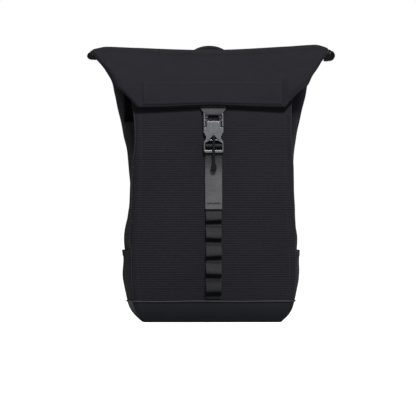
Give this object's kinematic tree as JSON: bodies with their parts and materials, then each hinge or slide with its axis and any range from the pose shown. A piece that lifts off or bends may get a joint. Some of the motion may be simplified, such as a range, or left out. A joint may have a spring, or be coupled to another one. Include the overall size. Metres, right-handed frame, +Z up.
{
  "type": "rolltop backpack",
  "caption": "Black rolltop backpack standing upright and closed, with a folded top, a metal buckle on a webbing chain, a coated base and padded shoulder straps",
  "frame": {"origin": "on the floor under the middle of the base, where the mount named base lies", "axes": "+Z up, the front with the buckle faces -Y, +X to the right seen from the front"},
  "size_m": [0.4286, 0.2225, 0.4881],
  "materials": {
    "body_cloth": "matt plain-weave nylon, water resistant",
    "ribbed_cloth": "matt nylon with a fine horizontal rib",
    "coated_cloth": "smooth coated fabric with a low sheen",
    "padded_mesh": "padded air mesh",
    "webbing": "flat woven webbing with a soft sheen",
    "binding": "dark bound edge",
    "buckle_metal": "satin grey die-cast metal",
    "pull_rubber": "soft matt rubber",
    "adjuster_plastic": "matt moulded plastic"
  },
  "bodies": {
    "root": {"bag_body": "body_cloth", "front_panel": "ribbed_cloth", "flap_panel": "body_cloth", "bottom_trim": "coated_cloth", "back_panel": "padded_mesh", "side_pocket_left": "body_cloth", "side_pocket_right": "body_cloth", "wing_tip_left": "binding", "wing_tip_right": "binding", "grab_handle": "webbing", "buckle_frame": "buckle_metal", "buckle_plate": "buckle_metal", "buckle_pull": "pull_rubber", "buckle_tab": "webbing", "buckle_strap": "webbing", "webbing_loop_1": "webbing", "webbing_loop_2": "webbing", "webbing_loop_3": "webbing", "webbing_loop_4": "webbing", "webbing_loop_5": "webbing", "shoulder_strap_left": "padded_mesh", "shoulder_strap_right": "padded_mesh", "strap_adjuster_left": "adjuster_plastic", "strap_adjuster_right": "adjuster_plastic", "strap_anchor_left": "body_cloth", "strap_anchor_right": "body_cloth", "strap_webbing_left": "webbing", "strap_webbing_right": "webbing"}
  },
  "joints": []
}
